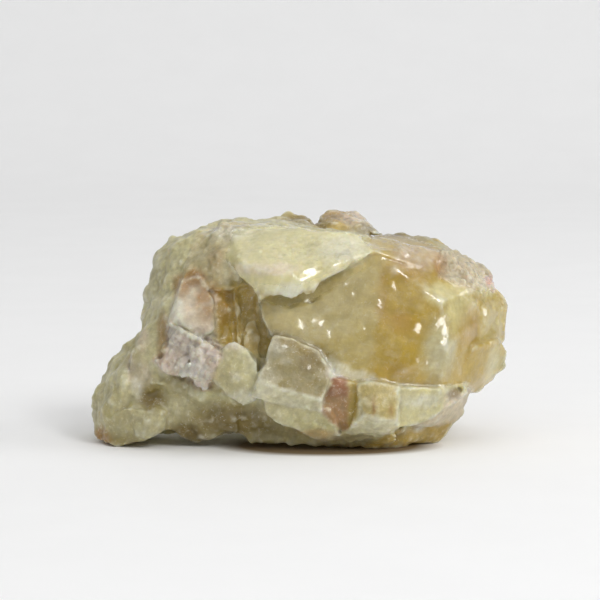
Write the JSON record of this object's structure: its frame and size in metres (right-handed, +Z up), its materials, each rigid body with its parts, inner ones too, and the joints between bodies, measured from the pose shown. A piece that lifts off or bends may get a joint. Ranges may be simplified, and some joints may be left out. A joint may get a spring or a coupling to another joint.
{
  "type": "calcite specimen",
  "caption": "Rough chunk of translucent green and honey calcite with cleavage faces, a crystal-lined recess and flat resting facets.",
  "frame": {"origin": "middle of the bounding box, on the surface that the stone rests on", "axes": "+X along the length towards the honey grain, -Y out of the broad cleavage faces, +Z up"},
  "size_m": [0.084, 0.0502, 0.0452],
  "materials": {
    "calcite": "raw translucent calcite, glassy on the cleavage faces and granular on the crust"
  },
  "bodies": {
    "root": {"calcite_specimen": "calcite"}
  },
  "joints": []
}
